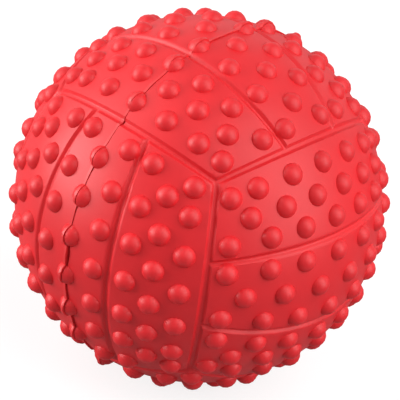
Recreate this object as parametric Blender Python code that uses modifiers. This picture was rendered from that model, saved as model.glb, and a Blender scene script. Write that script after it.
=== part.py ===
"""Squeaky dog ball: a hollow rubber ball with raised nubs and volleyball panel grooves.

The ball is moulded as two halves that are bonded on the plane x = 0. A reed squeaker is plugged
into the pole at -X. Metres, +Z up, origin at the centre of the ball.
"""

import math

import bmesh
import bpy
from mathutils import Matrix, Vector

MM = 0.001

# Ball
BALL_RADIUS = 35.0 * MM
NUB_HEIGHT = 1.4 * MM
NUB_DIAMETER = 3.8 * MM
WALL = 4.0 * MM

# Panel grooves: along the edges of a cube on the ball, and two more across each face of the cube
GROOVE_WIDTH = 2.1 * MM
GROOVE_FLOOR = 1.1 * MM
GROOVE_DEPTH = 0.6 * MM
FACE_EDGE = math.radians(45.0)
STRIP_EDGE = math.radians(15.0)

# Nub columns of one cube face: degrees across the strips, and degrees along each column
LONG_COLUMN = (0.0, 13.1, 25.4, 38.9)
SHORT_COLUMN = (6.7, 19.7, 32.4)
EDGE_COLUMN = (0.0, 15.3, 29.7, 39.4)
NUB_COLUMNS = (
    (0.0, SHORT_COLUMN),
    (10.0, LONG_COLUMN),
    (20.9, LONG_COLUMN),
    (29.1, SHORT_COLUMN),
    (37.7, EDGE_COLUMN),
)

# Seam between the halves
SEAM_BOND = 0.6 * MM
SEAM_FLASH = 0.3 * MM

# Running gap between pieces that meet
CLEARANCE = 0.3 * MM

# Squeaker housing, and the collar of the wall that it grips
FLANGE_RADIUS = 7.0 * MM
FLANGE_THICKNESS = 1.8 * MM
FLANGE_CHAMFER = 0.4 * MM
FLANGE_RECESS = 1.4 * MM
NECK_RADIUS = 5.0 * MM
BORE_RADIUS = 3.9 * MM
BARB_REACH = 1.6 * MM
BARB_LAND = 1.0 * MM
BARB_TAPER = 3.0 * MM
TAIL_LENGTH = 3.0 * MM
COLLAR_RADIUS = 9.5 * MM
COLLAR_HEIGHT = 2.0 * MM

# Squeaker cap
CAP_RADIUS = 4.7 * MM
CAP_THICKNESS = 0.8 * MM
SOUND_HOLE_RADIUS = 0.6 * MM
SOUND_HOLE_CIRCLE = 2.7 * MM
SOUND_HOLES = 6

# Reed, its seat and its wedge
REED_WIDTH = 3.2 * MM
REED_THICKNESS = 0.25 * MM
REED_TONGUE = 6.2 * MM
REED_TIP_ROUND = 1.0 * MM
REED_TIP_MARGIN = 1.2 * MM
WEDGE_LENGTH = 4.0 * MM
TROUGH_WIDTH = 2.2 * MM
TROUGH_DEPTH = 1.8 * MM

# Facets
BALL_SEGMENTS = 30
CAVITY_SEGMENTS = 24
NUB_SIDES = 6
NUB_RINGS = 3
GROOVE_STEPS = 6
TURNED_SEGMENTS = 28
HOLE_SEGMENTS = 8
ROUND_SEGMENTS = 4
SMOOTH_ANGLE = math.radians(35.0)
MERGE_DISTANCE = 0.01 * MM

# Ball sizes that follow
SKIN_RADIUS = BALL_RADIUS - NUB_HEIGHT
CAVITY_RADIUS = SKIN_RADIUS - WALL
SEAM_HALF_GAP = SEAM_BOND / 2 + CLEARANCE

# Squeaker heights that follow: distances from the ball's centre, outwards along -X
RECESS_FLOOR = SKIN_RADIUS - FLANGE_RECESS
FLANGE_BOTTOM = RECESS_FLOOR + CLEARANCE
FLANGE_TOP = FLANGE_BOTTOM + FLANGE_THICKNESS
CAP_LEDGE = FLANGE_TOP - CAP_THICKNESS - CLEARANCE
COLLAR_FACE = CAVITY_RADIUS - COLLAR_HEIGHT
BARB_TOP = COLLAR_FACE - CLEARANCE
CORE_TOP = CAP_LEDGE - CLEARANCE
CLAMP_EDGE = CORE_TOP - WEDGE_LENGTH
REED_TIP = CLAMP_EDGE - REED_TONGUE
CORE_END = REED_TIP - REED_TIP_MARGIN
HOUSING_END = min(BARB_TOP - BARB_LAND - BARB_TAPER - TAIL_LENGTH, CORE_END)

# Squeaker radii that follow
BARB_RADIUS = NECK_RADIUS + BARB_REACH
CAP_SEAT_RADIUS = CAP_RADIUS + CLEARANCE
CORE_RADIUS = BORE_RADIUS - CLEARANCE
REED_LEVEL = REED_THICKNESS / 2 + CLEARANCE

UNIT = (Vector((1, 0, 0)), Vector((0, 1, 0)), Vector((0, 0, 1)))

# Turns a piece that is modelled upright so that its top points along -X
OUTWARD = Matrix.Rotation(-math.pi / 2, 4, "Y")


# Helpers


def new_collection(name):
    collection = bpy.data.collections.new(name)
    bpy.context.scene.collection.children.link(collection)
    return collection


def new_object(name, mesh, collection):
    obj = bpy.data.objects.new(name, mesh)
    collection.objects.link(obj)
    return obj


def mesh_from(name, bm):
    bmesh.ops.recalc_face_normals(bm, faces=bm.faces)
    mesh = bpy.data.meshes.new(name)
    bm.to_mesh(mesh)
    bm.free()
    mesh.shade_smooth()
    mesh.set_sharp_from_angle(angle=SMOOTH_ANGLE)
    return mesh


def new_tool(name, bm):
    tool = new_object(name, mesh_from(name, bm), cutters)
    tool.hide_render = True
    tool.display_type = "WIRE"
    return tool


def combine(obj, tool, operation, overlapping_tool=False):
    modifier = obj.modifiers.new(tool.name, "BOOLEAN")
    modifier.operation = operation
    modifier.solver = "EXACT"
    modifier.use_self = overlapping_tool
    modifier.object = tool


def merge_close(obj):
    """Close up the slivers that cuts leave where they cross, so that the next cut stays sound."""
    weld = obj.modifiers.new("merge_close", "WELD")
    weld.merge_threshold = MERGE_DISTANCE


def evaluated_mesh(obj, name):
    graph = bpy.context.evaluated_depsgraph_get()
    mesh = bpy.data.meshes.new_from_object(obj.evaluated_get(graph))
    mesh.name = name
    return mesh


def add_cylinder(bm, radius, low, high, segments=TURNED_SEGMENTS, centre=(0.0, 0.0), turn=Matrix()):
    place = turn @ Matrix.Translation((*centre, (low + high) / 2))
    bmesh.ops.create_cone(
        bm,
        cap_ends=True,
        segments=segments,
        radius1=radius,
        radius2=radius,
        depth=high - low,
        matrix=place,
    )


def add_box(bm, low, high):
    low, high = Vector(low), Vector(high)
    place = Matrix.Translation((low + high) / 2) @ Matrix.Diagonal((*(high - low), 1.0))
    bmesh.ops.create_cube(bm, size=1.0, matrix=place)


def finish(obj, colour, roughness, metallic=0.0):
    look = bpy.data.materials.new(obj.name)
    look.use_nodes = True
    shader = look.node_tree.nodes["Principled BSDF"]
    shader.inputs["Base Color"].default_value = (*colour, 1.0)
    shader.inputs["Roughness"].default_value = roughness
    shader.inputs["Metallic"].default_value = metallic
    obj.data.materials.clear()
    obj.data.materials.append(look)


# Pattern of the ball


def cube_faces():
    """Normal, strip direction and cross direction of each face of the cube on the ball."""
    for axis in range(3):
        for sign in (1, -1):
            normal = UNIT[axis] * sign
            along = UNIT[(axis + 1) % 3]
            yield normal, along, normal.cross(along)


def on_face(face, along_angle, across_angle):
    normal, along, across = face
    slope = along * math.tan(along_angle) + across * math.tan(across_angle)
    return (normal + slope).normalized()


def both_signs(angle):
    return (angle, -angle) if angle else (angle,)


def nub_directions():
    for face in cube_faces():
        for across, column in NUB_COLUMNS:
            for side in both_signs(math.radians(across)):
                for along in column:
                    for end in both_signs(math.radians(along)):
                        yield on_face(face, end, side)


def clear_of_squeaker(direction):
    off_axis = math.hypot(direction.y, direction.z) * SKIN_RADIUS
    room = FLANGE_RADIUS + NUB_DIAMETER / 2 + 2 * CLEARANCE
    return direction.x > 0 or off_axis > room


def nub_tool():
    """Domes whose widest ring stands half way up the nub, and whose lower half is sunk in the skin."""
    ring_latitude = math.pi / 2 - math.pi / NUB_RINGS
    half_width = NUB_DIAMETER / 2 / math.cos(ring_latitude)
    dome = Matrix.Diagonal((half_width, half_width, NUB_HEIGHT, 1.0))
    bm = bmesh.new()
    for direction in nub_directions():
        if clear_of_squeaker(direction):
            turn = direction.to_track_quat("Z", "Y").to_matrix().to_4x4()
            place = Matrix.Translation(direction * SKIN_RADIUS) @ turn @ dome
            bmesh.ops.create_uvsphere(
                bm,
                u_segments=NUB_SIDES,
                v_segments=NUB_RINGS,
                radius=1.0,
                matrix=place,
            )
    return new_tool("nubs", bm)


def add_groove(bm, face, across_angle):
    """Spin the groove's trapezium about the ball's centre, from one end of its arc to the other."""
    middle = on_face(face, 0.0, across_angle)
    axis = middle.cross(face[1])
    reach = math.atan(math.cos(across_angle) * math.tan(FACE_EDGE))
    start = Matrix.Rotation(-reach, 3, axis)
    floor = SKIN_RADIUS - GROOVE_DEPTH
    mouth = SKIN_RADIUS + GROOVE_DEPTH
    mouth_width = 2 * GROOVE_WIDTH - GROOVE_FLOOR
    outline = (
        (floor, GROOVE_FLOOR / 2),
        (floor, -GROOVE_FLOOR / 2),
        (mouth, -mouth_width / 2),
        (mouth, mouth_width / 2),
    )
    corners = [bm.verts.new(start @ (middle * radius + axis * offset)) for radius, offset in outline]
    profile = bm.faces.new(corners)
    bmesh.ops.spin(
        bm,
        geom=[profile],
        cent=(0.0, 0.0, 0.0),
        axis=axis,
        angle=2 * reach,
        steps=GROOVE_STEPS,
    )


def groove_tool():
    bm = bmesh.new()
    for face in cube_faces():
        for edge in (STRIP_EDGE, FACE_EDGE):
            for across_angle in both_signs(edge):
                add_groove(bm, face, across_angle)
    return new_tool("grooves", bm)


# Wall of the whole ball, before it is parted


def ball(name, radius, segments):
    """Sphere with its poles on X, turned by half a segment so that no meridian follows a groove."""
    bm = bmesh.new()
    bmesh.ops.create_uvsphere(
        bm,
        u_segments=segments,
        v_segments=segments // 2,
        radius=radius,
        matrix=OUTWARD @ Matrix.Rotation(math.pi / segments, 4, "Z"),
    )
    return new_tool(name, bm)


def collar_tool():
    bm = bmesh.new()
    add_cylinder(bm, COLLAR_RADIUS, COLLAR_FACE, SKIN_RADIUS - WALL / 2, turn=OUTWARD)
    return new_tool("collar", bm)


def plug_hole_tool():
    bm = bmesh.new()
    add_cylinder(bm, NECK_RADIUS + CLEARANCE, COLLAR_FACE / 2, BALL_RADIUS, turn=OUTWARD)
    return new_tool("plug_hole", bm)


def flange_recess_tool():
    bm = bmesh.new()
    add_cylinder(bm, FLANGE_RADIUS + CLEARANCE, RECESS_FLOOR, BALL_RADIUS, turn=OUTWARD)
    return new_tool("flange_recess", bm)


def whole_wall():
    wall = ball("whole_wall", SKIN_RADIUS, BALL_SEGMENTS)
    combine(wall, ball("cavity", CAVITY_RADIUS, CAVITY_SEGMENTS), "DIFFERENCE")
    combine(wall, collar_tool(), "UNION")
    combine(wall, flange_recess_tool(), "DIFFERENCE")
    combine(wall, plug_hole_tool(), "DIFFERENCE")
    combine(wall, groove_tool(), "DIFFERENCE", overlapping_tool=True)
    merge_close(wall)
    combine(wall, nub_tool(), "UNION")
    merge_close(wall)
    return wall


# Rubber pieces


def half_shell(name, wall_mesh, side):
    reach = 2 * BALL_RADIUS
    ends = sorted((-side * reach, side * SEAM_HALF_GAP))
    bm = bmesh.new()
    add_box(bm, (ends[0], -reach, -reach), (ends[1], reach, reach))
    shell = new_object(name, wall_mesh.copy(), parts)
    combine(shell, new_tool(name + "_parting", bm), "DIFFERENCE")
    finish(shell, (0.72, 0.035, 0.035), 0.5)


def seam_bond(wall_mesh):
    bm = bmesh.new()
    add_cylinder(bm, SKIN_RADIUS + SEAM_FLASH, -SEAM_BOND, SEAM_BOND, 2 * BALL_SEGMENTS, turn=OUTWARD)
    flash = new_tool("flash", bm)
    bore = bmesh.new()
    add_cylinder(bore, SKIN_RADIUS - WALL / 2, -2 * SEAM_BOND, 2 * SEAM_BOND, turn=OUTWARD)
    combine(flash, new_tool("flash_bore", bore), "DIFFERENCE")
    slab = bmesh.new()
    reach = 2 * BALL_RADIUS
    add_box(slab, (-SEAM_BOND / 2, -reach, -reach), (SEAM_BOND / 2, reach, reach))
    ring = new_object("seam_bond", wall_mesh.copy(), parts)
    combine(ring, flash, "UNION")
    combine(ring, new_tool("bond_slab", slab), "INTERSECT")
    finish(ring, (0.62, 0.03, 0.03), 0.45)


# Squeaker pieces, modelled upright on Z and turned outwards by their parent


def squeaker_axis():
    axis = bpy.data.objects.new("squeaker_axis", None)
    parts.objects.link(axis)
    axis.matrix_world = OUTWARD
    return axis


def on_axis(obj, axis, height=0.0):
    obj.parent = axis
    obj.location = (0.0, 0.0, height)


def turned(name, profile):
    """Closed profile of radius and height, down its outer side and up its inner side."""
    mesh = bpy.data.meshes.new(name)
    points = [(radius, 0.0, height) for radius, height in profile]
    edges = [(i, (i + 1) % len(points)) for i in range(len(points))]
    mesh.from_pydata(points, edges, [])
    obj = new_object(name, mesh, parts)
    screw = obj.modifiers.new("turning", "SCREW")
    screw.steps = TURNED_SEGMENTS
    screw.render_steps = TURNED_SEGMENTS
    screw.use_merge_vertices = True
    screw.merge_threshold = MERGE_DISTANCE
    return obj


def squeaker_housing(axis):
    barb_edge = BARB_TOP - BARB_LAND
    profile = (
        (FLANGE_RADIUS - FLANGE_CHAMFER, FLANGE_TOP),
        (FLANGE_RADIUS, FLANGE_TOP - FLANGE_CHAMFER),
        (FLANGE_RADIUS, FLANGE_BOTTOM),
        (NECK_RADIUS, FLANGE_BOTTOM),
        (NECK_RADIUS, BARB_TOP),
        (BARB_RADIUS, BARB_TOP),
        (BARB_RADIUS, barb_edge),
        (NECK_RADIUS, barb_edge - BARB_TAPER),
        (NECK_RADIUS, HOUSING_END),
        (BORE_RADIUS, HOUSING_END),
        (BORE_RADIUS, CAP_LEDGE),
        (CAP_SEAT_RADIUS, CAP_LEDGE),
        (CAP_SEAT_RADIUS, FLANGE_TOP),
    )
    housing = turned("squeaker_housing", profile)
    on_axis(housing, axis)
    finish(housing, (0.85, 0.85, 0.82), 0.4)


def squeaker_cap(axis):
    bottom = CAP_LEDGE + CLEARANCE
    disc = bmesh.new()
    add_cylinder(disc, CAP_RADIUS, bottom, FLANGE_TOP)
    cap = new_object("squeaker_cap", mesh_from("squeaker_cap", disc), parts)
    on_axis(cap, axis)
    holes = bmesh.new()
    for hole in range(SOUND_HOLES):
        angle = 2 * math.pi * hole / SOUND_HOLES
        centre = (SOUND_HOLE_CIRCLE * math.cos(angle), SOUND_HOLE_CIRCLE * math.sin(angle))
        add_cylinder(holes, SOUND_HOLE_RADIUS, CAP_LEDGE, BALL_RADIUS, HOLE_SEGMENTS, centre)
    tool = new_tool("sound_holes", holes)
    on_axis(tool, axis)
    combine(cap, tool, "DIFFERENCE")
    finish(cap, (0.85, 0.85, 0.82), 0.45)


def half_core(name, axis, low, high, side):
    """Half-round block in the bore: side 1 lies over the reed, side -1 under it."""
    core = bmesh.new()
    add_cylinder(core, CORE_RADIUS, low, high)
    block = new_object(name, mesh_from(name, core), parts)
    on_axis(block, axis)
    away = bmesh.new()
    ends = sorted((side * REED_LEVEL, -2 * side * CORE_RADIUS))
    add_box(away, (ends[0], -2 * CORE_RADIUS, low - WALL), (ends[1], 2 * CORE_RADIUS, high + WALL))
    tool = new_tool(name + "_flat", away)
    on_axis(tool, axis)
    combine(block, tool, "DIFFERENCE")
    return block


def reed_seat(axis):
    seat = half_core("reed_seat", axis, CORE_END, CORE_TOP, -1)
    trough = bmesh.new()
    floor = -REED_LEVEL - TROUGH_DEPTH
    closed_end = REED_TIP + REED_TIP_MARGIN
    add_box(trough, (floor, -TROUGH_WIDTH / 2, closed_end), (0.0, TROUGH_WIDTH / 2, BALL_RADIUS))
    tool = new_tool("trough", trough)
    on_axis(tool, axis)
    combine(seat, tool, "DIFFERENCE")
    finish(seat, (0.80, 0.80, 0.78), 0.5)


def reed_wedge(axis):
    wedge = half_core("reed_wedge", axis, CLAMP_EDGE, CORE_TOP, 1)
    finish(wedge, (0.80, 0.80, 0.78), 0.5)


def reed(axis):
    """Strip with its origin on the clamp's edge, about which it flexes."""
    strip = bmesh.new()
    half = Vector((REED_THICKNESS / 2, REED_WIDTH / 2, 0.0))
    root = WEDGE_LENGTH - CLEARANCE
    add_box(strip, (-half.x, -half.y, -REED_TONGUE), (half.x, half.y, root))
    tip_edges = [
        edge
        for edge in strip.edges
        if all(vert.co.z < 0.0 for vert in edge.verts) and edge.verts[0].co.y * edge.verts[1].co.y > 0.0
    ]
    bmesh.ops.bevel(
        strip,
        geom=tip_edges,
        offset=REED_TIP_ROUND,
        segments=ROUND_SEGMENTS,
        profile=0.5,
        affect="EDGES",
    )
    tongue = new_object("reed", mesh_from("reed", strip), parts)
    on_axis(tongue, axis, CLAMP_EDGE)
    finish(tongue, (0.78, 0.62, 0.32), 0.3, 0.9)


for leftover in list(bpy.data.objects):
    bpy.data.objects.remove(leftover, do_unlink=True)

parts = new_collection("squeaky_dog_ball")
cutters = new_collection("cutters")

ball_mesh = evaluated_mesh(whole_wall(), "ball_wall")
half_shell("left_half_shell", ball_mesh, -1)
half_shell("right_half_shell", ball_mesh, 1)
seam_bond(ball_mesh)

plug = squeaker_axis()
squeaker_housing(plug)
squeaker_cap(plug)
reed_seat(plug)
reed(plug)
reed_wedge(plug)
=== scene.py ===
import math

import bmesh
import bpy
from mathutils import Matrix, Vector


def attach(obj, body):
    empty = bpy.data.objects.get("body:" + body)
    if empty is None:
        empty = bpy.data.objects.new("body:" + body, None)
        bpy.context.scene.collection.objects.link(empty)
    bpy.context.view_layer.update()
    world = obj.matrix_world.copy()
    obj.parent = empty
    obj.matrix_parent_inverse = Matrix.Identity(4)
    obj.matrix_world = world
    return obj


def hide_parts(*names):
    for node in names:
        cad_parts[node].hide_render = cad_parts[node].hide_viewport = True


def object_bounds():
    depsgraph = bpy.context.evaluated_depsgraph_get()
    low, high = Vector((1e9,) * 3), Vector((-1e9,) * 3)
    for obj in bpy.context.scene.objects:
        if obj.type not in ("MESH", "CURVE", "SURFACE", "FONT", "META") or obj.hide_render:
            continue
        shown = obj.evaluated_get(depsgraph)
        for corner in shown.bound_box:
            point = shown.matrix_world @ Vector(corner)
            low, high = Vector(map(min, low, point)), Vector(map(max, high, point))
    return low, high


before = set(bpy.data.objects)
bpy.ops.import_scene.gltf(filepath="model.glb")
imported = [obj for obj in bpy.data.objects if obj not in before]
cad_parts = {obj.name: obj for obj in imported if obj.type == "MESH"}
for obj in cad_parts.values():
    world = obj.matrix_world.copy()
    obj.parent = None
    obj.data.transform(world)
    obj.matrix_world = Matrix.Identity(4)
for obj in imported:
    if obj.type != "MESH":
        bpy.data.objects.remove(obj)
cad_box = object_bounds()

MM = 0.001

# Ball
BALL_RADIUS = 35.0 * MM
NUB_HEIGHT = 1.4 * MM
NUB_ROUND = 2.14 * MM
NUB_ROOT = 0.7 * MM
WALL = 4.0 * MM
SKIN_RADIUS = BALL_RADIUS - NUB_HEIGHT
CAVITY_RADIUS = SKIN_RADIUS - WALL

# Panel grooves: soft-shouldered, along the edges of a cube on the ball and twice across each face of it
GROOVE_DEPTH = 0.55 * MM
STRIP_FLOOR = 0.25 * MM
EDGE_FLOOR = 0.6 * MM
GROOVE_REACH = 0.65 * MM
FACE_EDGE = math.radians(45.0)
STRIP_EDGE = math.radians(15.0)

# Nub columns of one cube face: degrees across the strips, and degrees along each column
LONG_COLUMN = (0.0, 13.1, 25.4, 38.9)
SHORT_COLUMN = (6.7, 19.7, 32.4)
EDGE_COLUMN = (0.0, 15.3, 29.7, 39.4)
NUB_COLUMNS = (
    (0.0, SHORT_COLUMN),
    (10.0, LONG_COLUMN),
    (20.9, LONG_COLUMN),
    (29.1, SHORT_COLUMN),
    (37.7, EDGE_COLUMN),
)

# Mould seam: angles in degrees round it, from -Y up
SEAM_HALF_GAP = 0.33 * MM
LIP_HALF_WIDTH = 0.25 * MM
LIP_HEIGHT = 0.26 * MM
LIP_ROOT = 1.0 * MM
BED_DEPTH = 0.1 * MM
BED_LEAST = 0.02 * MM
BED_OVERLAP = 0.08 * MM
OPEN_GAP = 0.45 * MM
OPEN_DEPTH = 1.0 * MM
OPEN_LIP = 0.3 * MM
LIP_LEAST = 0.4
LIP_SLOW_SHARE = 0.8
LIP_QUICK_SHARE = 0.5
# Middle and spread of each stretch that was bonded badly, and its share of the full opening
OPEN_STRETCHES = (
    (45.0, 1.5, 0.5),
    (29.0, 2.5, 0.25),
    (17.0, 2.5, 0.25),
    (0.0, 4.0, 1.0),
    (-13.2, 4.5, 0.35),
    (-26.0, 4.0, 0.35),
)
SEAM_WANDER = 0.25 * MM
# Waves in the parting line: how many round the ball, where they start, in radians, and their share
WANDER_WAVES = ((5, 0.6, 0.5), (17, 2.1, 0.3), (41, 0.0, 0.2))
SEAM_OFFSET = 0.15 * MM
SEAM_SWELL = -0.65 * MM
SWELL_MIDDLE = 14.0
SWELL_SPREAD = 22.0
FINE_GAP_END = 48.0
FINE_GAP_FADE = 12.0
MISMATCH_TURN = math.radians(0.35)
MISMATCH_SHIFT = Vector((0.0, -0.1, 0.06)) * MM
SLAB_RADIUS = 1.3 * BALL_RADIUS
SLAB_END = 1.5 * BALL_RADIUS

# Squeaker: radii, and distances from the ball's centre, outwards along -X
CLEARANCE = 0.3 * MM
FLANGE_RADIUS = 7.0 * MM
NECK_RADIUS = 5.0 * MM
BORE_RADIUS = 3.9 * MM
BARB_RADIUS = 6.6 * MM
CAP_RADIUS = 4.7 * MM
CAP_SEAT_RADIUS = CAP_RADIUS + CLEARANCE
COLLAR_RADIUS = 9.5 * MM
COLLAR_HEIGHT = 2.0 * MM
RECESS_DEPTH = 1.4 * MM
FLANGE_THICKNESS = 1.8 * MM
CAP_THICKNESS = 0.8 * MM
BARB_LAND = 1.0 * MM
BARB_TAPER = 3.0 * MM
TAIL_LENGTH = 3.0 * MM
COLLAR_FACE = CAVITY_RADIUS - COLLAR_HEIGHT
RECESS_FLOOR = SKIN_RADIUS - RECESS_DEPTH
FLANGE_BOTTOM = RECESS_FLOOR + CLEARANCE
FLANGE_TOP = FLANGE_BOTTOM + FLANGE_THICKNESS
CAP_BOTTOM = FLANGE_TOP - CAP_THICKNESS
CAP_LEDGE = CAP_BOTTOM - CLEARANCE
BARB_TOP = COLLAR_FACE - CLEARANCE
BARB_EDGE = BARB_TOP - BARB_LAND
BARB_END = BARB_EDGE - BARB_TAPER
HOUSING_END = BARB_END - TAIL_LENGTH
PLUG_ROUNDING = 0.25 * MM
CAP_ROUNDING = 0.12 * MM
SOUND_HOLES = 6
SOUND_HOLE_RADIUS = 0.6 * MM
SOUND_HOLE_CIRCLE = 2.7 * MM

# Facets
SKIN_CUTS = 98
SKIN_GATHER = 0.8
CAVITY_CUTS = 27
NUB_SEGMENTS = 16
NUB_RINGS = 8
SEAM_SEGMENTS = 360
TURNED_SEGMENTS = 72
HOLE_SEGMENTS = 24
ROUNDING_SEGMENTS = 3
SLIVER = 0.005 * MM
SMOOTH_ANGLE = math.radians(35.0)
FACING = 0.9

# Moulded surface: where the mottling is darkest and lightest, and how fine it and the grain are
MOTTLE_DARKEST = 0.3
MOTTLE_LIGHTEST = 0.7
MOTTLE_DETAIL = 3.0
GRAIN_DETAIL = 2.0
GRAIN_STRENGTH = 0.5

# Camera, as the photograph was taken
CAMERA_DISTANCE = 504.0 * MM
CAMERA_AZIMUTH = math.radians(39.37)
CAMERA_ELEVATION = math.radians(29.77)
CAMERA_ROLL = math.radians(-8.19)
CAMERA_LENS = 248.2
CAMERA_NEAR = 10.0 * MM
PHOTO_SIZE = 400.0
BALL_CENTRE_PIXEL = (198.8, 198.6)

# Soft boxes, floor and backdrop
BOX_DISTANCE = 0.8
BOX_SIZE = 0.6
FLOOR_SIZE = 6.0
FLOOR_GREY = 0.32
FLOOR_WHITE = 0.8
FLOOR_MIRRORED = 0.03
BACKDROP_WHITE = 1.0
AMBIENT = 0.15

UNIT = (Vector((1, 0, 0)), Vector((0, 1, 0)), Vector((0, 0, 1)))
OUTWARD = Matrix.Rotation(-math.pi / 2, 4, "Y")


# Helpers


def deselect():
    bpy.ops.object.select_all(action="DESELECT")


def added(name):
    """The primitive that was added last, under its own name."""
    piece = bpy.context.object
    piece.name = name
    piece.data.name = name
    return piece


def activate(piece):
    deselect()
    piece.select_set(True)
    bpy.context.view_layer.objects.active = piece


def edit(piece):
    activate(piece)
    bpy.ops.object.mode_set(mode="EDIT")
    bpy.ops.mesh.select_all(action="SELECT")


def leave_edit():
    bpy.ops.object.mode_set(mode="OBJECT")


def pick_faces(test):
    """In edit mode, select the faces that pass the test and no others."""
    bpy.ops.mesh.select_mode(type="FACE")
    bpy.ops.mesh.select_all(action="DESELECT")
    mesh = bpy.context.edit_object.data
    shape = bmesh.from_edit_mesh(mesh)
    for face in shape.faces:
        face.select_set(test(face))
    bmesh.update_edit_mesh(mesh)


def pick_vertices(test):
    """In edit mode, select the vertices that pass the test and no others."""
    bpy.ops.mesh.select_mode(type="VERT")
    bpy.ops.mesh.select_all(action="DESELECT")
    mesh = bpy.context.edit_object.data
    shape = bmesh.from_edit_mesh(mesh)
    for vertex in shape.verts:
        vertex.select_set(test(vertex.co))
    bmesh.update_edit_mesh(mesh)


def settle(piece):
    """Put a piece's place, turn and scale into its mesh."""
    activate(piece)
    bpy.ops.object.transform_apply(location=True, rotation=True, scale=True)


def copied(piece, name):
    copy = piece.copy()
    copy.data = piece.data.copy()
    copy.name = name
    copy.data.name = name
    bpy.context.scene.collection.objects.link(copy)
    return copy


def joined(pieces, name):
    deselect()
    for piece in pieces:
        piece.select_set(True)
    bpy.context.view_layer.objects.active = pieces[0]
    bpy.ops.object.join()
    whole = added(name)
    settle(whole)
    return whole


def apply(piece, modifier):
    activate(piece)
    bpy.ops.object.modifier_apply(modifier=modifier.name)


def combine(piece, tool, operation):
    """Cut or join with a closed tool, and remove the tool."""
    boolean = piece.modifiers.new("boolean", "BOOLEAN")
    boolean.operation = operation
    boolean.solver = "MANIFOLD"
    boolean.object = tool
    apply(piece, boolean)
    bpy.data.objects.remove(tool)


def round_edges(piece, width):
    bevel = piece.modifiers.new("bevel", "BEVEL")
    bevel.width = width
    bevel.segments = ROUNDING_SEGMENTS
    bevel.limit_method = "ANGLE"
    bevel.angle_limit = SMOOTH_ANGLE
    apply(piece, bevel)


def weld(piece):
    """Merge the slivers that the cuts leave, split many-sided faces and drop flaps with a free edge."""
    edit(piece)
    bpy.ops.mesh.remove_doubles(threshold=SLIVER)
    bpy.ops.mesh.dissolve_degenerate(threshold=SLIVER)
    bpy.ops.mesh.select_all(action="DESELECT")
    bpy.ops.mesh.select_face_by_sides(number=4, type="GREATER")
    bpy.ops.mesh.quads_convert_to_tris(ngon_method="BEAUTY")
    bpy.ops.mesh.select_all(action="DESELECT")
    bpy.ops.mesh.select_mode(type="EDGE")
    bpy.ops.mesh.select_non_manifold(use_multi_face=False, use_non_contiguous=False, use_verts=False)
    bpy.ops.mesh.delete(type="EDGE")
    leave_edit()


def smooth(piece):
    activate(piece)
    bpy.ops.object.shade_smooth_by_angle(angle=SMOOTH_ANGLE)


# Pattern of the ball


def cube_faces():
    """Normal, strip direction and cross direction of each face of the cube on the ball."""
    for axis in range(3):
        for sign in (1, -1):
            normal = UNIT[axis] * sign
            along = UNIT[(axis + 1) % 3]
            yield normal, along, normal.cross(along)


def on_face(face, along_angle, across_angle):
    normal, along, across = face
    slope = along * math.tan(along_angle) + across * math.tan(across_angle)
    return (normal + slope).normalized()


def both_signs(angle):
    return (angle, -angle) if angle else (angle,)


def nub_directions():
    for face in cube_faces():
        for across, column in NUB_COLUMNS:
            for side in both_signs(math.radians(across)):
                for along in column:
                    for end in both_signs(math.radians(along)):
                        yield on_face(face, end, side)


def clear_of_squeaker(direction):
    off_axis = math.hypot(direction.y, direction.z) * SKIN_RADIUS
    return direction.x > 0 or off_axis > FLANGE_RADIUS + NUB_ROUND + 2 * CLEARANCE


# Cutters and other tools for the rubber wall


def ball(name, radius, cuts):
    """A cube, cut up evenly and rounded to a ball, so that no pole gathers its faces."""
    deselect()
    bpy.ops.mesh.primitive_cube_add(size=2 * radius)
    piece = added(name)
    edit(piece)
    bpy.ops.mesh.subdivide(number_cuts=cuts)
    leave_edit()
    cast = piece.modifiers.new("round", "CAST")
    cast.cast_type = "SPHERE"
    cast.factor = 1.0
    cast.radius = 0.0
    cast.size = radius
    cast.use_radius_as_size = False
    apply(piece, cast)
    return piece


def drum(name, radius, low, high, segments=TURNED_SEGMENTS):
    """A cylinder on the squeaker's axis, between two distances from the ball's centre."""
    deselect()
    bpy.ops.mesh.primitive_cylinder_add(
        vertices=segments,
        radius=radius,
        depth=high - low,
        location=(0.0, 0.0, (low + high) / 2),
    )
    piece = added(name)
    settle(piece)
    return piece


def outward(piece):
    """Turn a piece that was modelled upright so that its top points along -X."""
    piece.matrix_world = OUTWARD
    settle(piece)
    return piece


def gathered(coordinate):
    """Where a cut across a face of the cube goes, so that the cuts gather at the groove lines."""
    strips = (coordinate + 1) * FACE_EDGE / (2 * STRIP_EDGE)
    gather = SKIN_GATHER * math.sin(2 * math.pi * strips) / (2 * math.pi)
    return math.tan((strips - gather) * 2 * STRIP_EDGE - FACE_EDGE)


def off_cube_edge(point):
    """How far a point of the skin is from the nearest edge of the cube."""
    low, middle, high = sorted(abs(value) for value in point)
    return (high - middle) / math.sqrt(2.0)


def off_strip_edge(point):
    """How far a point of the skin is from the nearest groove across its face of the cube."""
    sizes = [abs(value) for value in point]
    high = max(sizes)
    across = sizes[(sizes.index(high) + 2) % 3]
    return abs(across * math.cos(STRIP_EDGE) - high * math.sin(STRIP_EDGE))


def on_groove_floor(point):
    return off_cube_edge(point) < EDGE_FLOOR / 2 or off_strip_edge(point) < STRIP_FLOOR / 2


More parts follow.
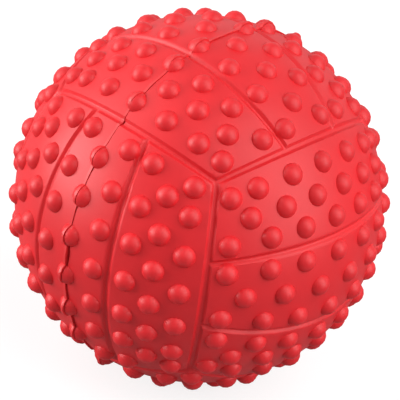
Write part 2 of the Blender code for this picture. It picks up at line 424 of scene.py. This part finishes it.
def grooved_ball():
    """A cube, cut up and rounded to the skin of the ball, with the panel grooves pressed in."""
    deselect()
    bpy.ops.mesh.primitive_cube_add(size=2.0)
    piece = added("wall")
    edit(piece)
    bpy.ops.mesh.subdivide(number_cuts=SKIN_CUTS)
    leave_edit()
    for vertex in piece.data.vertices:
        direction = Vector([gathered(value) for value in vertex.co])
        vertex.co = direction.normalized() * SKIN_RADIUS
    edit(piece)
    pick_vertices(on_groove_floor)
    bpy.ops.transform.shrink_fatten(
        value=-GROOVE_DEPTH,
        use_proportional_edit=True,
        proportional_edit_falloff="SMOOTH",
        proportional_size=GROOVE_REACH,
    )
    leave_edit()
    return piece


def nub_tool():
    """One nub, cut from a small ball and sunk in the skin, and its copies over the ball."""
    deselect()
    bpy.ops.mesh.primitive_uv_sphere_add(
        segments=NUB_SEGMENTS,
        ring_count=NUB_RINGS,
        radius=NUB_ROUND,
        location=(0.0, 0.0, BALL_RADIUS - NUB_ROUND),
    )
    nub = added("nub")
    settle(nub)
    edit(nub)
    root = (0.0, 0.0, SKIN_RADIUS - NUB_ROOT)
    bpy.ops.mesh.bisect(plane_co=root, plane_no=(0, 0, 1), use_fill=True, clear_inner=True)
    leave_edit()
    copies = []
    for direction in nub_directions():
        if clear_of_squeaker(direction):
            copy = copied(nub, "nub_copy")
            copy.matrix_world = direction.to_track_quat("Z", "Y").to_matrix().to_4x4()
            copies.append(copy)
    bpy.data.objects.remove(nub)
    return joined(copies, "nubs")


# Rubber wall, before it is parted


def whole_wall():
    wall = grooved_ball()
    combine(wall, ball("cavity", CAVITY_RADIUS, CAVITY_CUTS), "DIFFERENCE")
    collar = drum("collar", COLLAR_RADIUS, COLLAR_FACE, SKIN_RADIUS - WALL / 2)
    combine(wall, outward(collar), "UNION")
    recess = drum("recess", FLANGE_RADIUS + CLEARANCE, RECESS_FLOOR, BALL_RADIUS)
    combine(wall, outward(recess), "DIFFERENCE")
    hole = drum("hole", NECK_RADIUS + CLEARANCE, COLLAR_FACE / 2, BALL_RADIUS)
    combine(wall, outward(hole), "DIFFERENCE")
    combine(wall, nub_tool(), "UNION")
    return wall


# Seam and halves


def seam_angle(point):
    """Angle round the seam: 0 on the side towards -Y, a quarter turn at the top."""
    return math.atan2(point.z, -point.y)


def hump(angle, middle, spread):
    """1 at a middle along the seam, falling off smoothly to both sides."""
    return math.exp(-(((math.degrees(angle) - middle) / spread) ** 2))


def wander(angle):
    """How far the parting line strays from its plane."""
    waves = sum(share * math.sin(count * angle + start) for count, start, share in WANDER_WAVES)
    swell = hump(angle, SWELL_MIDDLE, SWELL_SPREAD)
    return SEAM_OFFSET + SEAM_WANDER * waves + SEAM_SWELL * swell


def parting_slab(low, high, low_gap=None):
    """A disc that fills the ball between two planes of x, wavy like the parting line."""
    deselect()
    bpy.ops.mesh.primitive_circle_add(
        vertices=SEAM_SEGMENTS,
        radius=SLAB_RADIUS,
        fill_type="TRIFAN",
        location=(low, 0.0, 0.0),
        rotation=(0.0, math.pi / 2, 0.0),
    )
    slab = added("parting_slab")
    settle(slab)
    edit(slab)
    bpy.ops.mesh.extrude_region_move(TRANSFORM_OT_translate={"value": (high - low, 0.0, 0.0)})
    bpy.ops.mesh.select_all(action="SELECT")
    bpy.ops.mesh.normals_make_consistent(inside=False)
    leave_edit()
    middle = (low + high) / 2
    for vertex in slab.data.vertices:
        distance = math.hypot(vertex.co.y, vertex.co.z)
        if distance > SLAB_RADIUS / 2:
            on_low_side = vertex.co.x < middle
            angle = seam_angle(vertex.co)
            vertex.co.x += wander(angle) * SLAB_RADIUS / SKIN_RADIUS
            if low_gap and on_low_side:
                vertex.co.x += low_gap(angle) * SLAB_RADIUS / SKIN_RADIUS
    return slab


def openness(angle):
    """Up to 1 in each stretch between nubs where the halves were bonded badly, and 0 elsewhere."""
    return sum(share * hump(angle, middle, spread) for middle, spread, share in OPEN_STRETCHES)


def open_gap(angle):
    return OPEN_GAP * openness(angle)


def half_shells(wall):
    left = copied(wall, "rubber_left_half")
    combine(left, parting_slab(-SLAB_END, -SEAM_HALF_GAP), "INTERSECT")
    right = copied(wall, "rubber_right_half")
    right.matrix_world = Matrix.Translation(MISMATCH_SHIFT) @ Matrix.Rotation(MISMATCH_TURN, 4, "X")
    settle(right)
    combine(right, parting_slab(SEAM_HALF_GAP, SLAB_END, open_gap), "INTERSECT")
    weld(left)
    weld(right)
    return left, right


def lip_height(angle):
    """How far the flash stands proud, which changes along the seam."""
    slow = 0.5 + 0.5 * math.sin(3 * angle + 2.4)
    quick = 0.5 + 0.5 * math.sin(23 * angle) * math.sin(9 * angle + 1.0)
    share = LIP_LEAST + LIP_SLOW_SHARE * slow + LIP_QUICK_SHARE * quick
    return LIP_HEIGHT * share + OPEN_LIP * openness(angle)


def fine_gap(angle):
    """1 along the front, where a fine gap shows beside the flash, and 0 where the cement fills it."""
    from_front = abs(math.degrees(angle) - SWELL_MIDDLE)
    return min(1.0, max(0.0, (FINE_GAP_END - from_front) / FINE_GAP_FADE))


def bed_height(angle):
    depth = BED_LEAST + (BED_DEPTH - BED_LEAST) * fine_gap(angle)
    return -depth - OPEN_DEPTH * openness(angle)


def raise_rim(piece, height, root=0.0):
    """Move a ring's outer side by a height that changes along the seam, and its inner side by a root."""
    for vertex in piece.data.vertices:
        distance = math.hypot(vertex.co.y, vertex.co.z)
        outer = distance > CAVITY_RADIUS + WALL / 2
        shift = height(seam_angle(vertex.co)) if outer else root
        vertex.co.y *= 1 + shift / distance
        vertex.co.z *= 1 + shift / distance


def seam_flash(wall):
    """The cement between the halves, in a bed below the skin, and the lip of flash that it carries."""
    bed = copied(wall, "seam_flash")
    bed_edge = SEAM_HALF_GAP + BED_OVERLAP
    combine(bed, parting_slab(-bed_edge, bed_edge + OPEN_GAP), "INTERSECT")
    raise_rim(bed, bed_height)
    lip = copied(wall, "lip")
    combine(lip, parting_slab(-LIP_HALF_WIDTH, LIP_HALF_WIDTH), "INTERSECT")
    raise_rim(lip, lip_height, LIP_ROOT)
    combine(bed, lip, "UNION")
    weld(bed)
    return bed


# Squeaker


def squeaker_housing():
    """The flange first, then the neck, barb and tail drawn down from it, then the bore."""
    housing = drum("squeaker_plug", FLANGE_RADIUS, FLANGE_BOTTOM, FLANGE_TOP)
    edit(housing)

    def draw_down(depth, scale):
        bpy.ops.mesh.extrude_region_move(TRANSFORM_OT_translate={"value": (0.0, 0.0, -depth)})
        bpy.ops.transform.resize(value=(scale, scale, 1.0))

    pick_faces(lambda face: face.normal.z < -FACING)
    bpy.ops.mesh.inset(thickness=FLANGE_RADIUS - NECK_RADIUS)
    draw_down(FLANGE_BOTTOM - BARB_TOP, 1.0)
    draw_down(0.0, BARB_RADIUS / NECK_RADIUS)
    draw_down(BARB_TOP - BARB_EDGE, 1.0)
    draw_down(BARB_EDGE - BARB_END, NECK_RADIUS / BARB_RADIUS)
    draw_down(BARB_END - HOUSING_END, 1.0)
    bpy.ops.mesh.inset(thickness=NECK_RADIUS - BORE_RADIUS)
    pick_faces(lambda face: face.normal.z > FACING and face.calc_center_median().z > CAP_LEDGE)
    bpy.ops.mesh.inset(thickness=FLANGE_RADIUS - CAP_SEAT_RADIUS)
    draw_down(FLANGE_TOP - CAP_LEDGE, 1.0)
    bpy.ops.mesh.inset(thickness=CAP_SEAT_RADIUS - BORE_RADIUS)
    pick_faces(lambda face: len(face.verts) == TURNED_SEGMENTS)
    bpy.ops.mesh.bridge_edge_loops()
    bpy.ops.mesh.select_all(action="SELECT")
    bpy.ops.mesh.normals_make_consistent(inside=False)
    leave_edit()
    round_edges(housing, PLUG_ROUNDING)
    return outward(housing)


def squeaker_cap():
    """A disc with a ring of sound holes."""
    cap = drum("squeaker_cap_disc", CAP_RADIUS, CAP_BOTTOM, FLANGE_TOP)
    below = CAP_BOTTOM - CAP_THICKNESS
    holes = []
    for step in range(SOUND_HOLES):
        hole = drum("sound_hole", SOUND_HOLE_RADIUS, below, BALL_RADIUS, HOLE_SEGMENTS)
        turn = Matrix.Rotation(2 * math.pi * step / SOUND_HOLES, 4, "Z")
        hole.matrix_world = turn @ Matrix.Translation((SOUND_HOLE_CIRCLE, 0.0, 0.0))
        holes.append(hole)
    combine(cap, joined(holes, "sound_holes"), "DIFFERENCE")
    round_edges(cap, CAP_ROUNDING)
    return outward(cap)


# Materials


def new_material(name, roughness, metallic=0.0, specular=0.5):
    material = bpy.data.materials.new(name)
    material.use_nodes = True
    shader = material.node_tree.nodes["Principled BSDF"]
    shader.inputs["Roughness"].default_value = roughness
    shader.inputs["Metallic"].default_value = metallic
    shader.inputs["Specular IOR Level"].default_value = specular
    return material, material.node_tree.nodes, material.node_tree.links, shader


def moulded_surface_group():
    """Slow mottling and fine grain of a moulded surface, on the piece's own coordinates."""
    group = bpy.data.node_groups.new("moulded_surface", "ShaderNodeTree")
    for name in ("Mottle Scale", "Grain Scale"):
        group.interface.new_socket(name, in_out="INPUT", socket_type="NodeSocketFloat")
    for name in ("Mottle", "Grain"):
        group.interface.new_socket(name, in_out="OUTPUT", socket_type="NodeSocketFloat")
    nodes, links = group.nodes, group.links
    values = nodes.new("NodeGroupInput")
    result = nodes.new("NodeGroupOutput")
    place = nodes.new("ShaderNodeTexCoord")
    for name, detail in (("Mottle", MOTTLE_DETAIL), ("Grain", GRAIN_DETAIL)):
        noise = nodes.new("ShaderNodeTexNoise")
        noise.inputs["Detail"].default_value = detail
        links.new(place.outputs["Object"], noise.inputs["Vector"])
        links.new(values.outputs[name + " Scale"], noise.inputs["Scale"])
        links.new(noise.outputs["Fac"], result.inputs[name])
    return group


def dress(material_parts, group, dark, light, mottle_scale, grain_scale, grain_depth, gloss_spread):
    """Lay the moulded surface over a material: colour and gloss by the mottling, bump by the grain."""
    material, nodes, links, shader = material_parts
    surface = nodes.new("ShaderNodeGroup")
    surface.node_tree = group
    surface.inputs["Mottle Scale"].default_value = mottle_scale
    surface.inputs["Grain Scale"].default_value = grain_scale
    ramp = nodes.new("ShaderNodeValToRGB")
    ramp.color_ramp.elements[0].position = MOTTLE_DARKEST
    ramp.color_ramp.elements[0].color = (*dark, 1.0)
    ramp.color_ramp.elements[1].position = MOTTLE_LIGHTEST
    ramp.color_ramp.elements[1].color = (*light, 1.0)
    links.new(surface.outputs["Mottle"], ramp.inputs["Fac"])
    links.new(ramp.outputs["Color"], shader.inputs["Base Color"])
    gloss = nodes.new("ShaderNodeMapRange")
    middle = shader.inputs["Roughness"].default_value
    gloss.inputs["To Min"].default_value = middle - gloss_spread
    gloss.inputs["To Max"].default_value = middle + gloss_spread
    links.new(surface.outputs["Mottle"], gloss.inputs["Value"])
    links.new(gloss.outputs["Result"], shader.inputs["Roughness"])
    bump = nodes.new("ShaderNodeBump")
    bump.inputs["Strength"].default_value = GRAIN_STRENGTH
    bump.inputs["Distance"].default_value = grain_depth
    links.new(surface.outputs["Grain"], bump.inputs["Height"])
    links.new(bump.outputs["Normal"], shader.inputs["Normal"])
    return material


surface_group = moulded_surface_group()

red_rubber = dress(
    new_material("red_rubber", 0.46, specular=0.42),
    surface_group,
    dark=(0.70, 0.0150, 0.0210),
    light=(0.78, 0.0168, 0.0235),
    mottle_scale=70.0,
    grain_scale=2200.0,
    grain_depth=0.03 * MM,
    gloss_spread=0.06,
)
# Cement and flash: the rubber's red, made lighter and pinker as a painted highlight so that the lip of
# flash looks lit
rubber_cement = dress(
    new_material("rubber_cement", 0.42, specular=0.45),
    surface_group,
    dark=(0.68, 0.020, 0.024),
    light=(0.80, 0.032, 0.037),
    mottle_scale=240.0,
    grain_scale=3200.0,
    grain_depth=0.03 * MM,
    gloss_spread=0.08,
)
housing_plastic = dress(
    new_material("housing_plastic", 0.38),
    surface_group,
    dark=(0.80, 0.79, 0.74),
    light=(0.86, 0.86, 0.82),
    mottle_scale=120.0,
    grain_scale=4200.0,
    grain_depth=0.012 * MM,
    gloss_spread=0.05,
)
core_plastic = dress(
    new_material("core_plastic", 0.42),
    surface_group,
    dark=(0.74, 0.74, 0.71),
    light=(0.81, 0.81, 0.79),
    mottle_scale=160.0,
    grain_scale=4200.0,
    grain_depth=0.012 * MM,
    gloss_spread=0.05,
)
reed_brass = dress(
    new_material("reed_brass", 0.28, metallic=1.0),
    surface_group,
    dark=(0.68, 0.50, 0.24),
    light=(0.82, 0.65, 0.36),
    mottle_scale=300.0,
    grain_scale=5200.0,
    grain_depth=0.006 * MM,
    gloss_spread=0.08,
)


# Pieces on the frame


def place(piece, node, slot, material):
    piece.data.materials.clear()
    piece.data.materials.append(material)
    smooth(piece)
    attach(piece, "ball")
    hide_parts(node)


wall = whole_wall()
left_half, right_half = half_shells(wall)
place(left_half, "left_half_shell", "red_rubber", red_rubber)
place(right_half, "right_half_shell", "red_rubber", red_rubber)
# The seam flash wears the lighter, pinker red, a painted highlight on its lip
place(seam_flash(wall), "seam_bond", "rubber_cement", rubber_cement)
bpy.data.objects.remove(wall)
place(squeaker_housing(), "squeaker_housing", "housing_plastic", housing_plastic)
place(squeaker_cap(), "squeaker_cap", "cap_plastic", housing_plastic)

for node, material in (("reed_seat", core_plastic), ("reed_wedge", core_plastic), ("reed", reed_brass)):
    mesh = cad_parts[node].data
    mesh.materials.clear()
    mesh.materials.append(material)


# Floor, light and camera


def by_ray(nodes, links, seen, mirrored, other):
    """One level for the camera and through glass, one for reflections and one for all other light."""
    path = nodes.new("ShaderNodeLightPath")
    steps = []
    levels = (("Is Glossy Ray", mirrored), ("Is Transmission Ray", seen), ("Is Camera Ray", seen))
    for name, level in levels:
        step = nodes.new("ShaderNodeMapRange")
        step.inputs["To Min"].default_value = other
        step.inputs["To Max"].default_value = level
        links.new(path.outputs[name], step.inputs["Value"])
        if steps:
            links.new(steps[-1].outputs["Result"], step.inputs["To Min"])
        steps.append(step)
    return steps[-1].outputs["Result"]


def pale_floor():
    """White to the camera, with the ball's soft shadow, and grey to the light on the ball."""
    deselect()
    bpy.ops.mesh.primitive_plane_add(size=FLOOR_SIZE, location=(0.0, 0.0, cad_box[0][2]))
    floor = added("floor")
    material = bpy.data.materials.new("floor_paper")
    material.use_nodes = True
    nodes, links = material.node_tree.nodes, material.node_tree.links
    nodes.remove(nodes["Principled BSDF"])
    paper = nodes.new("ShaderNodeBsdfDiffuse")
    paper.inputs["Color"].default_value = (FLOOR_GREY, FLOOR_GREY, FLOOR_GREY, 1.0)
    glow = nodes.new("ShaderNodeEmission")
    links.new(by_ray(nodes, links, FLOOR_WHITE, FLOOR_MIRRORED, 0.0), glow.inputs["Strength"])
    both = nodes.new("ShaderNodeAddShader")
    links.new(paper.outputs["BSDF"], both.inputs[0])
    links.new(glow.outputs["Emission"], both.inputs[1])
    links.new(both.outputs["Shader"], nodes["Material Output"].inputs["Surface"])
    floor.data.materials.append(material)


def white_world():
    """White to the camera and in reflections, and a little soft light from all round."""
    world = bpy.data.worlds.new("studio")
    bpy.context.scene.world = world
    world.use_nodes = True
    nodes, links = world.node_tree.nodes, world.node_tree.links
    background = nodes["Background"]
    background.inputs["Color"].default_value = (1.0, 1.0, 1.0, 1.0)
    level = by_ray(nodes, links, BACKDROP_WHITE, BACKDROP_WHITE, AMBIENT)
    links.new(level, background.inputs["Strength"])


def camera_axes():
    """Right, up and towards the viewer, in the photograph's view of the ball."""
    toward = Vector((
        math.sin(CAMERA_AZIMUTH) * math.cos(CAMERA_ELEVATION),
        -math.cos(CAMERA_AZIMUTH) * math.cos(CAMERA_ELEVATION),
        math.sin(CAMERA_ELEVATION),
    ))
    level = UNIT[2].cross(toward).normalized()
    turn = Matrix.Rotation(-CAMERA_ROLL, 3, toward)
    right = turn @ level
    return right, toward.cross(right), toward


def soft_box(name, off_view, clock, power):
    """A square soft box aimed at the ball, so many degrees off the view and round it from the right."""
    right, top, toward = camera_axes()
    off_view, clock = math.radians(off_view), math.radians(clock)
    sideways = right * math.cos(clock) + top * math.sin(clock)
    direction = toward * math.cos(off_view) + sideways * math.sin(off_view)
    light = bpy.data.lights.new(name, "AREA")
    light.size = BOX_SIZE
    light.energy = power
    lamp = bpy.data.objects.new(name, light)
    lamp.location = direction * BOX_DISTANCE
    lamp.rotation_euler = direction.to_track_quat("Z", "Y").to_euler()
    bpy.context.scene.collection.objects.link(lamp)


def photo_camera():
    right, top, toward = camera_axes()
    data = bpy.data.cameras.new("photo_camera")
    data.lens = CAMERA_LENS
    data.shift_x = (PHOTO_SIZE / 2 - BALL_CENTRE_PIXEL[0]) / PHOTO_SIZE
    data.shift_y = (BALL_CENTRE_PIXEL[1] - PHOTO_SIZE / 2) / PHOTO_SIZE
    data.clip_start = CAMERA_NEAR
    camera = bpy.data.objects.new("photo_camera", data)
    axes = Matrix((right, top, toward)).transposed()
    camera.matrix_world = Matrix.Translation(toward * CAMERA_DISTANCE) @ axes.to_4x4()
    bpy.context.scene.collection.objects.link(camera)
    bpy.context.scene.camera = camera


pale_floor()
white_world()
soft_box("left_box", 85.0, 170.0, 9.4)
soft_box("upper_left_box", 72.0, 128.0, 2.2)
soft_box("right_box", 60.0, -6.0, 3.5)
soft_box("upper_right_box", 60.0, 36.0, 2.1)
soft_box("front_box", 35.0, 45.0, 1.9)
photo_camera()
bpy.context.scene.view_settings.view_transform = "Standard"
